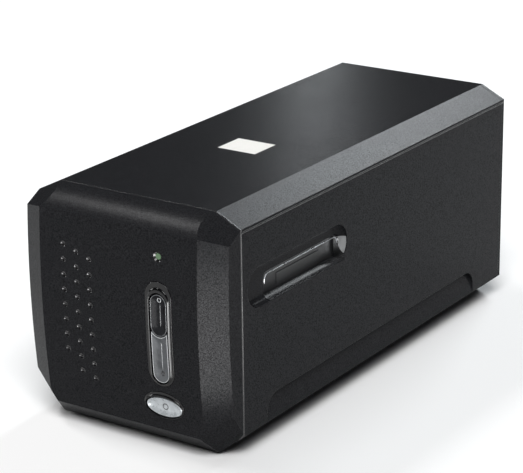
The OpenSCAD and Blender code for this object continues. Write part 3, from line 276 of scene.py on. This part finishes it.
FAR = 1.0                               # further out than any piece
WALL_X = 58 * MM                        # outer face of the side walls
SEAM_X = 57 * MM                        # just inside it
SEAM_Y = -118 * MM                      # between the bezel and the case
SEAM_Z = 110.8 * MM                     # between the case and the top cover
BEZEL_BAND = 0.6 * MM                   # how far each seam's smooth edges reach
COVER_BAND = 0.5 * MM
DIMPLED_X = 45 * MM                     # the part of the front that has the dimples
DIMPLED_Y = -131 * MM
DIMPLED_Z = (16 * MM, 104 * MM)
SLOT_Y = (-93.8 * MM, -30.3 * MM)       # the throat of each film slot
SLOT_Z = (71.2 * MM, 82.9 * MM)
MOUTH_X = 54 * MM                       # its mouth, at the bottom of the pocket round it
INNER_X = 51.5 * MM                     # behind that pocket
POCKET_END_Y = -20 * MM                 # past the pocket's rear end
POCKET_Z = (66 * MM, 92 * MM)
COVE_LEAN = 0.42                        # slope of the cove's normal near the wall's face
COVE_CURL = 0.11 / MM                   # and what it gains with each metre inwards
COS_10 = 0.985                          # cosine of 10 degrees
# Painted shade for the walls of the front's dimples
DIMPLE_PAINTED_SHADE = (0.005, 0.005, 0.0055, 1.0)
# Painted light: a light grey for the bowl at each slot pocket's rear end, metallic on its upright wall
BOWL_PAINTED_LIGHT = (0.25, 0.255, 0.26, 1.0)


def seam_zone(tree, place):
    """A narrow band along the seam round the bezel and along those under the top cover."""
    bezel = inside(tree, place, (0, SEAM_Y - BEZEL_BAND, 0), (FAR, SEAM_Y + BEZEL_BAND, FAR))
    cover = inside(tree, place, (SEAM_X, SEAM_Y, SEAM_Z - COVER_BAND), (FAR, FAR, SEAM_Z + COVER_BAND))
    return calc(tree, "MAXIMUM", bezel, cover)


def dimple_zone(tree, place, facing):
    """The walls of the front's dimples, which face more than 10 degrees off the bow's radius."""
    front = inside(tree, place, (0, -FAR, DIMPLED_Z[0]), (DIMPLED_X, DIMPLED_Y, DIMPLED_Z[1]))
    along_y = calc(tree, "MULTIPLY", calc(tree, "SUBTRACT", place[1], BOW_Y), facing[1])
    along_z = calc(tree, "MULTIPLY", calc(tree, "SUBTRACT", place[2], BOW_Z), facing[2])
    off_radius = calc(tree, "LESS_THAN", calc(tree, "ADD", along_y, along_z), COS_10 * BOW_R)
    return calc(tree, "MULTIPLY", front, off_radius)


def slot_zones(tree, place, facing):
    """The cove under each throat, the bowl at the pocket's rear end and the bowl's upright wall."""
    pocket = inside(tree, place, (INNER_X, SLOT_Y[0], POCKET_Z[0]),
                    (WALL_X - 0.03 * MM, POCKET_END_Y, POCKET_Z[1]))
    end = inside(tree, place, (INNER_X, SLOT_Y[1] - 0.6 * MM, SLOT_Z[0] - 0.5 * MM),
                 (WALL_X - 0.4 * MM, POCKET_END_Y, SLOT_Z[1] - 0.5 * MM))
    cove = calc(tree, "MULTIPLY", pocket, calc(tree, "GREATER_THAN", facing[2], 0.5))
    bowl = calc(tree, "MULTIPLY", end, calc(tree, "LESS_THAN", facing[1], -0.25))
    wall = calc(tree, "MULTIPLY", end, calc(tree, "LESS_THAN", facing[1], -COS_10))
    return cove, bowl, wall


def cove_normal(tree, place, side):
    """A normal that leans outwards, more and more towards the throat."""
    inwards = calc(tree, "SUBTRACT", WALL_X - 0.1 * MM, place[0])
    lean = calc(tree, "ADD", calc(tree, "MULTIPLY", inwards, COVE_CURL), COVE_LEAN)
    tilted = tree.nodes.new("ShaderNodeCombineXYZ")
    tree.links.new(calc(tree, "MULTIPLY", lean, side), tilted.inputs["X"])
    tilted.inputs["Z"].default_value = 1.0
    unit = tree.nodes.new("ShaderNodeVectorMath")
    unit.operation = "NORMALIZE"
    tree.links.new(tilted.outputs[0], unit.inputs[0])
    return unit.outputs[0]


def grained_plastic(name, edge):
    """Spark-eroded mould texture: a fine speckle in shade, gloss and height, with smooth zones, painted
    shade in the dimples and painted light on each slot's rear bowl.
    """
    material, tree, shader = new_material(name)
    speckle = noise(tree, SPECKLE_SIZE, 3.0)
    patches = noise(tree, PATCH_SIZE, 2.0)
    place, facing, side = surface_point(tree)
    dimple = dimple_zone(tree, place, facing)
    cove, bowl, wall = slot_zones(tree, place, facing)

    colour = mottled(tree, speckle, SHELL_BLACK, SHELL_MOTTLE)
    # Painted shade: the walls of the dimples are darkened
    colour = mixed(tree, "RGBA", dimple, colour, DIMPLE_PAINTED_SHADE)
    # Painted light: the bowl at each slot's rear end is a light grey
    colour = mixed(tree, "RGBA", bowl, colour, BOWL_PAINTED_LIGHT)
    tree.links.new(colour, shader.inputs["Base Color"])
    tree.links.new(wall, shader.inputs["Metallic"])
    roughness = spread(tree, patches, SHELL_ROUGHNESS - 0.01, SHELL_ROUGHNESS + 0.01)
    tree.links.new(roughness, shader.inputs["Roughness"])

    smooth = calc(tree, "MAXIMUM", calc(tree, "MULTIPLY", cove, COVE_SHARE), dimple)
    smooth = calc(tree, "MAXIMUM", smooth, seam_zone(tree, place))
    gloss = spread(tree, speckle, 0.4 * SHELL_GLOSS, 1.6 * SHELL_GLOSS)
    tree.links.new(mixed(tree, "FLOAT", smooth, gloss, SMOOTH_GLOSS), shader.inputs["Specular IOR Level"])

    grain = bump(tree, shader, speckle, GRAIN_DEPTH)
    normal = mixed(tree, "VECTOR", cove, soft_edges(tree, edge), cove_normal(tree, place, side))
    tree.links.new(normal, grain.inputs["Normal"])
    return material


# ---------------------------------------------------------------- other materials
def surface(name, colour, roughness, mottle=0.1, patch=4 * MM, grain=0.4 * MM, depth=0.01 * MM,
            rough_spread=0.06, specular=0.5, metallic=0.0, stretch=1):
    """A surface with patches of slightly different shade and gloss, and a fine grain.

    The patches and the grain can be stretched along Y, as on turned or drawn metal.
    """
    material, tree, shader = new_material(name)
    along = (1, stretch, 1)
    patches = noise(tree, patch, 3.0, along)
    shader.inputs["Metallic"].default_value = metallic
    shader.inputs["Specular IOR Level"].default_value = specular
    tree.links.new(mottled(tree, patches, colour, mottle), shader.inputs["Base Color"])
    varied = spread(tree, patches, roughness - rough_spread, roughness + rough_spread)
    tree.links.new(varied, shader.inputs["Roughness"])
    if depth:
        bump(tree, shader, noise(tree, grain, 2.0, along), depth)
    return material


MOULDED = {"patch": 3 * MM, "grain": 0.6 * MM}
METAL = {"grain": 0.3 * MM, "depth": 0.004 * MM, "metallic": 1.0}
PRINT = {"roughness": 0.3, "patch": 2 * MM, "depth": 0}
BUTTON_GRAIN = {"patch": 4 * MM, "depth": 0.002 * MM}
CLEAR = {"depth": 0, "rough_spread": 0.01, "patch": 20 * MM}

SURFACES = {
    "piano_black": dict(colour=(0.003, 0.003, 0.0035), roughness=0.09, depth=0, rough_spread=0.02,
                        specular=0.4),
    "smoke_button": dict(BUTTON_GRAIN, colour=(0.0175, 0.018, 0.02), roughness=0.28, mottle=0.3,
                         specular=0.03),
    "grey_button": dict(BUTTON_GRAIN, colour=(0.115, 0.12, 0.127), roughness=0.32, mottle=0.25,
                        specular=0.05),
    "silver_button": dict(colour=(0.5, 0.53, 0.55), roughness=0.3, mottle=0.12, patch=3 * MM,
                          depth=0.004 * MM, metallic=0.3),
    "light_mark_and_painted_highlight": dict(PRINT, colour=(0.5, 0.52, 0.53), mottle=0.05),
    "mark_dark": dict(PRINT, colour=(0.02, 0.02, 0.022), mottle=0.05),
    "edge_painted_highlight": dict(PRINT, colour=(0.14, 0.147, 0.155)),
    "bright_painted_highlight": dict(PRINT, colour=(0.28, 0.29, 0.3)),
    "lip_painted_highlight": dict(colour=(0.75, 0.77, 0.8), roughness=0.3, patch=3 * MM, depth=0, metallic=1.0),
    "green_lens": dict(colour=(0.105, 0.2, 0.095), roughness=0.15, mottle=0.05, patch=2 * MM, depth=0),
    "flap_black": dict(colour=(0.035, 0.036, 0.038), roughness=0.42, mottle=0.12, patch=3 * MM,
                       grain=0.5 * MM, depth=0.012 * MM),
    "label_paper": dict(colour=(0.74, 0.73, 0.7), roughness=0.7, mottle=0.03, patch=1 * MM,
                        grain=0.2 * MM, depth=0.004 * MM),
    "foot_rubber": dict(colour=(0.02, 0.02, 0.02), roughness=0.8, patch=2 * MM, grain=0.5 * MM,
                        depth=0.02 * MM),
    "black_inner": dict(MOULDED, colour=(0.02, 0.021, 0.023), roughness=0.5, mottle=0.12,
                        depth=0.02 * MM),
    "white_inner": dict(MOULDED, colour=(0.7, 0.7, 0.69), roughness=0.5, mottle=0.04, patch=4 * MM),
    "diffuser_white": dict(colour=(0.82, 0.82, 0.8), roughness=0.4, mottle=0.02, grain=0.3 * MM,
                           depth=0.005 * MM),
    "circuit_board": dict(colour=(0.02, 0.12, 0.045), roughness=0.35, mottle=0.3, patch=3 * MM,
                          grain=1.2 * MM),
    "steel": dict(METAL, colour=(0.6, 0.61, 0.62), roughness=0.28, mottle=0.08, patch=3 * MM,
                  depth=0.003 * MM, stretch=12),
    "motor_steel": dict(METAL, colour=(0.42, 0.43, 0.44), roughness=0.34, mottle=0.08, patch=3 * MM,
                        stretch=8),
    "nut_plastic": dict(colour=(0.72, 0.6, 0.35), roughness=0.45, mottle=0.06, patch=3 * MM),
    "bronze": dict(METAL, colour=(0.62, 0.45, 0.2), roughness=0.35, patch=2 * MM),
    "mirror_glass": dict(CLEAR, colour=(0.85, 0.87, 0.88), roughness=0.04, mottle=0.02, metallic=1.0),
    "lens_glass": dict(CLEAR, colour=(0.55, 0.65, 0.7), roughness=0.08, mottle=0.03),
    "sensor_package": dict(colour=(0.2, 0.16, 0.25), roughness=0.5, mottle=0.08, patch=3 * MM),
    "dark_screw": dict(METAL, colour=(0.05, 0.05, 0.053), roughness=0.35, patch=2 * MM, metallic=0.8),
}


def make_materials():
    materials = {"black_shell": grained_plastic("black_shell", SHELL_EDGE),
                 "black_front": grained_plastic("black_front", FRONT_EDGE)}
    for name, look in SURFACES.items():
        materials[name] = surface(name, **look)
    return materials


def dress_nodes(materials):
    """Each solid gets the material of its slot, and the bezel the one with the finer edges."""
    for part in frame["record"]["subparts"]:
        mesh = nodes[part["node"]].data
        mesh.materials.clear()
        mesh.materials.append(materials[part["material_slot"]])
    nodes["front_bezel"].data.materials[0] = materials["black_front"]


# ---------------------------------------------------------------- outlines and skins on the bowed face
ARC_POINTS = 25
STRAIGHT_STEPS = 12
OVAL_POINTS = 72


def bow_y(z, depth=0.0):
    """Place along Y of the bowed face at height z, moved inwards by a depth."""
    return BOW_Y - math.sqrt((BOW_R - depth) ** 2 - (z - BOW_Z) ** 2)


def arc(centre_x, centre_z, radius, start, stop):
    """Points of an arc, its angles in degrees from +X towards +Z."""
    angles = [math.radians(start + (stop - start) * i / (ARC_POINTS - 1)) for i in range(ARC_POINTS)]
    return [(centre_x + radius * math.cos(a), centre_z + radius * math.sin(a)) for a in angles]


def straight(x, start, stop):
    """Points at one x between two heights, without the ends."""
    return [(x, start + (stop - start) * i / STRAIGHT_STEPS) for i in range(1, STRAIGHT_STEPS)]


def stadium(x, width, low, high, grow=0.0):
    """Upright outline with round ends."""
    r = width / 2 + grow
    top, bottom = high - width / 2, low + width / 2
    return (arc(x, top, r, 0, 180) + straight(x - r, top, bottom)
            + arc(x, bottom, r, 180, 360) + straight(x + r, bottom, top))


def oval(x, z, width, height, grow=0.0, count=OVAL_POINTS):
    angles = [2 * math.pi * i / count for i in range(count)]
    return [(x + (width / 2 + grow) * math.cos(a), z + (height / 2 + grow) * math.sin(a)) for a in angles]


def notched(x, width, low, split, gap, horn, grow=0.0):
    """Outline with a round foot and a hollow top that runs round the upper button.

    The horns beside the hollow end a set way under its centre, at most where the hollow is as
    wide as the foot.
    """
    r = width / 2 + grow
    hollow = width / 2 + gap - grow
    widest = -math.sqrt(hollow ** 2 - r ** 2) - 0.01 * MM
    tip = max(min(grow - horn, widest), -0.9999 * hollow)
    lean = math.degrees(math.asin(-tip / hollow))
    bottom = low + width / 2
    return (arc(x, split, hollow, -lean, lean - 180) + straight(x - r, split + tip, bottom)
            + arc(x, bottom, r, 180, 360) + straight(x + r, bottom, split + tip))


def at_depth(outline, depth):
    """An outline as a ring at one depth under the bow."""
    return [(x, z, depth) for x, z in outline]


def skin(name, rings, material, closed=False):
    """Skin through rings of points, closed on itself or capped at its last ring."""
    count = len(rings[0])
    verts = [point for ring in rings for point in ring]
    steps = len(rings) if closed else len(rings) - 1
    faces = []
    for i in range(steps):
        here, there = i * count, (i + 1) % len(rings) * count
        for j in range(count):
            k = (j + 1) % count
            faces.append((here + j, here + k, there + k, there + j))
    if not closed:
        last = (len(rings) - 1) * count
        faces.append(tuple(last + j for j in range(count)))
    mesh = bpy.data.meshes.new(name)
    mesh.from_pydata(verts, [], faces)
    work = bmesh.new()
    work.from_mesh(mesh)
    bmesh.ops.recalc_face_normals(work, faces=work.faces)
    work.to_mesh(mesh)
    work.free()
    mesh.shade_smooth()
    mesh.materials.append(material)
    piece = bpy.data.objects.new(name, mesh)
    bpy.context.collection.objects.link(piece)
    return piece


def loft(name, rings, material, closed=False):
    """Skin through rings of (x, z, depth) on the bow."""
    placed = [[(x, bow_y(z, depth), z) for x, z, depth in ring] for ring in rings]
    return skin(name, placed, material, closed)


# ---------------------------------------------------------------- surrounds of the buttons
BUTTON_GAP = 0.4 * MM       # between a button and its surround, and between the scan buttons
BUTTON_W = 9.2 * MM
POWER_W = 20.2 * MM
FLANGE_REACH = 1.2 * MM     # how far a surround's flange reaches out behind the wall
FLANGE_BACK = 3.7 * MM
FLANGE_FRONT = 2.6 * MM
RIM_RISE = 0.8 * MM         # of the rim's bead over the bow
RIM_DROP = 0.9 * MM         # of the rim's inner end under it


def middle(box, axis):
    return (box[0][axis] + box[1][axis]) / 2


def extent(box, axis):
    return box[1][axis] - box[0][axis]


BUTTON_X = middle(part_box("upper_button"), 0)


def rim_profile():
    """The rim's section as (share of the way inwards, rise): a low shoulder, a bead, the fall inside."""
    corner, shoulder_end, crest = 0.04, 0.54, 0.86
    low, high = 0.25 * RIM_RISE, 0.35 * RIM_RISE
    profile = []
    for i in range(7):
        a = math.radians(15 * i)
        profile.append((corner * (1 - math.cos(a)), low * math.sin(a)))
    for i in range(1, 6):
        part = i / 6
        profile.append((corner + (shoulder_end - corner) * part, low + (high - low) * part))
    for i in range(10):
        a = math.radians(10 * i)
        climb = (RIM_RISE - high) * math.sin(a)
        profile.append((crest - (crest - shoulder_end) * math.cos(a), high + climb))
    for i in range(1, 10):
        a = math.radians(10 * i)
        fall = (RIM_RISE + RIM_DROP) * (1 - math.cos(a))
        profile.append((crest + (1 - crest) * math.sin(a), RIM_RISE - fall))
    return profile


def rim_rings(outer, inner, flange):
    """A flange behind the wall and, in front, the rim between its outer and inner outlines."""
    rings = [at_depth(flange, FLANGE_BACK), at_depth(flange, FLANGE_FRONT), at_depth(outer, FLANGE_FRONT)]
    for part, rise in rim_profile():
        rings.append([((1 - part) * p[0] + part * q[0], (1 - part) * p[1] + part * q[1], -rise)
                      for p, q in zip(outer, inner)])
    rings.append(at_depth(inner, FLANGE_BACK))
    return rings


def make_button_surround(materials):
    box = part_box("button_surround")
    width, low, high = extent(box, 0), box[0][2], box[1][2]
    hole_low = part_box("lower_button")[0][2] - BUTTON_GAP
    hole_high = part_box("upper_button")[1][2] + BUTTON_GAP
    outer = stadium(BUTTON_X, width - 2 * FLANGE_REACH, low + FLANGE_REACH, high - FLANGE_REACH)
    inner = stadium(BUTTON_X, BUTTON_W + 2 * BUTTON_GAP, hole_low, hole_high)
    rings = rim_rings(outer, inner, stadium(BUTTON_X, width, low, high))
    piece = loft("button_rim", rings, materials["piano_black"], closed=True)
    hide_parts("button_surround")
    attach(piece, "root")


def make_power_surround(materials):
    box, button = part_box("power_surround"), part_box("power_button")
    width, height, z = extent(box, 0), extent(box, 2), middle(box, 2)
    outer = oval(BUTTON_X, z, width - 2 * FLANGE_REACH, height - 2 * FLANGE_REACH)
    inner = oval(BUTTON_X, middle(button, 2), POWER_W, extent(button, 2), BUTTON_GAP)
    rings = rim_rings(outer, inner, oval(BUTTON_X, z, width, height))
    piece = loft("power_rim", rings, materials["piano_black"], closed=True)
    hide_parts("power_surround")
    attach(piece, "root")


# ---------------------------------------------------------------- buttons
PROUD = 0.3 * MM            # how far the buttons stand out of the bow
SKIRT_DEPTH = 3.6 * MM
CAP_EDGE = 0.45 * MM        # radius of a cap's rounded edge
HORN_CUT = 2.8 * MM         # from the middle of the lower button's hollow down to its horns
OVAL_RINGS_CUT = 4          # innermost rings left out of the oval cap, whose middle is flat
EDGE_TUBE = 0.17 * MM       # radius of the painted highlight along a cap's edge
EDGE_INSET = 0.3 * MM
EDGE_SINK = 0.06 * MM
MARK_TUBE = 0.2 * MM        # radius of the rings and lines on the caps
SCAN_RING_R = 0.95 * MM
POWER_RING_R = 1.4 * MM


def button_rings(outline, half_width, hollow):
    """Side wall, rounded edge and scooped face."""
    rings = [at_depth(outline(0.0), SKIRT_DEPTH), at_depth(outline(0.0), CAP_EDGE - PROUD)]
    for i in range(1, 7):
        a = math.radians(15 * i)
        inwards = CAP_EDGE * (1 - math.cos(a))
        rings.append(at_depth(outline(-inwards), CAP_EDGE - PROUD - CAP_EDGE * math.sin(a)))
    reach = half_width - CAP_EDGE
    for part in (0.96, 0.9, 0.8, 0.7, 0.6, 0.5, 0.4, 0.3, 0.2, 0.1):
        rings.append(at_depth(outline(part * reach - half_width), hollow * (1 - part ** 2) - PROUD))
    rings.append(at_depth(outline(0.02 * reach - half_width), hollow - PROUD))
    return rings


def bead(name, body, material, outline, tube, sides, depth):
    """A fine round bead along an outline, which lies at a depth under the bow."""
    rings = []
    for i in range(sides):
        a = 2 * math.pi * i / sides
        rings.append(at_depth(outline(tube * math.cos(a)), depth - tube * math.sin(a)))
    piece = loft(name, rings, material, closed=True)
    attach(piece, body)


def edge_line(name, body, material, outline):
    """A fine light line along the rounded edge of a button: a painted highlight."""
    def line(grow):
        return outline(grow - EDGE_INSET)

    bead(name, body, material, line, EDGE_TUBE, sides=10, depth=EDGE_SINK - PROUD)


def ring_mark(name, body, material, z, radius, depth):
    """A fine raised ring on a button."""
    def ring(grow):
        return oval(BUTTON_X, z, 2 * radius, 2 * radius, grow, count=32)

    bead(name, body, material, ring, MARK_TUBE, sides=12, depth=depth)


def finger_line(name, body, material, low, high, depth):
    """A fine raised line along the middle of a button, with pointed ends."""
    steps, sides = 8, 8
    rings = []
    for i in range(steps + 1):
        z = low + (high - low) * i / steps
        size = MARK_TUBE if 0 < i < steps else 0.3 * MARK_TUBE
        ring = []
        for j in range(sides):
            a = 2 * math.pi * j / sides
            ring.append((BUTTON_X + size * math.cos(a), bow_y(z, depth - size * math.sin(a)), z))
        rings.append(ring)
    piece = skin(name, rings, material)
    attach(piece, body)


def make_upper_button(materials):
    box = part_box("upper_button")
    low, high = box[0][2], box[1][2]

    def outline(grow):
        return stadium(BUTTON_X, BUTTON_W, low, high, grow)

    rings = button_rings(outline, BUTTON_W / 2, hollow=1.7 * MM)
    piece = loft("upper_cap", rings, materials["smoke_button"])
    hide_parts("upper_button")
    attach(piece, "upper_button")
    edge_line("upper_edge", "upper_button", materials["edge_painted_highlight"], outline)
    ring_mark("upper_mark", "upper_button", materials["light_mark_and_painted_highlight"],
              z=high - 3.0 * MM, radius=SCAN_RING_R, depth=0.75 * MM)
    # A light line down the middle paints a groove's highlight
    finger_line("upper_line", "upper_button", materials["edge_painted_highlight"],
                low=low + 4.4 * MM, high=high - 4.6 * MM, depth=1.4 * MM)


def make_lower_button(materials):
    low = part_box("lower_button")[0][2]
    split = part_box("upper_button")[0][2] + BUTTON_W / 2

    def outline(grow):
        return notched(BUTTON_X, BUTTON_W, low, split, BUTTON_GAP, HORN_CUT, grow)

    rings = button_rings(outline, BUTTON_W / 2, hollow=1.5 * MM)
    piece = loft("lower_cap", rings, materials["grey_button"])
    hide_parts("lower_button")
    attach(piece, "lower_button")
    edge_line("lower_edge", "lower_button", materials["light_mark_and_painted_highlight"], outline)
    ring_mark("lower_mark", "lower_button", materials["mark_dark"],
              z=low + 4.2 * MM, radius=SCAN_RING_R, depth=1.1 * MM)
    # A light line down the middle paints a groove's highlight
    finger_line("lower_line", "lower_button", materials["bright_painted_highlight"],
                low=low + 5.8 * MM, high=split - 6.4 * MM, depth=1.2 * MM)


def make_power_button(materials):
    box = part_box("power_button")
    z, height = middle(box, 2), extent(box, 2)

    def outline(grow):
        return oval(BUTTON_X, z, POWER_W, height, grow)

    rings = button_rings(outline, height / 2, hollow=1.3 * MM)
    piece = loft("power_cap", rings[:-OVAL_RINGS_CUT], materials["silver_button"])
    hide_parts("power_button")
    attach(piece, "power_button")
    ring_mark("power_mark", "power_button", materials["mark_dark"],
              z=z, radius=POWER_RING_R, depth=0.8 * MM)


# ---------------------------------------------------------------- film slots
LIP_CORNER = 3.0 * MM       # radius of the throat's upper corners
LIP_TUBE = 0.28 * MM
LIP_LEG = 1.6 * MM          # how far the lip runs down the throat's front end


def lip_path():
    """Points of the lip as (y, z) with the way outwards there: front end, top, rear corner."""
    front, rear = SLOT_Y
    corner_z = SLOT_Z[1] - LIP_CORNER
    path = [(front, corner_z - LIP_LEG, -1, 0), (front, corner_z - 0.6 * LIP_LEG, -1, 0)]
    for start, y in ((180, front + LIP_CORNER), (90, rear - LIP_CORNER)):
        for i in range(9):
            a = math.radians(start - 90 * i / 8)
            path.append((y + LIP_CORNER * math.cos(a), corner_z + LIP_CORNER * math.sin(a),
                         math.cos(a), math.sin(a)))
    path.append((rear, corner_z - 0.4 * LIP_LEG, 1, 0))
    return path


def slot_lip(name, side, material):
    """A fine bright metal tube along the edge of a film slot's throat, tapering at both ends: a painted
    highlight on that edge.
    """
    path = lip_path()
    sides = 8
    rings = []
    for point, (y, z, out_y, out_z) in enumerate(path):
        size = LIP_TUBE * min(1.0, 0.25 + 0.25 * point, 0.25 + 0.5 * (len(path) - 1 - point))
        ring = []
        for i in range(sides):
            a = 2 * math.pi * i / sides
            out = size * math.cos(a)
            ring.append((side * (MOUTH_X + size * math.sin(a)), y + out * out_y, z + out * out_z))
        rings.append(ring)
    piece = skin(name, rings, material)
    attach(piece, "root")


bpy.context.scene.view_settings.view_transform = "Standard"
make_camera()
make_floor()
make_light()
MATERIALS = make_materials()
dress_nodes(MATERIALS)
make_button_surround(MATERIALS)
make_power_surround(MATERIALS)
make_upper_button(MATERIALS)
make_lower_button(MATERIALS)
make_power_button(MATERIALS)
# Painted highlights along the top edges of the slots' throats
slot_lip("slot_lip_right", 1, MATERIALS["lip_painted_highlight"])
slot_lip("slot_lip_left", -1, MATERIALS["lip_painted_highlight"])
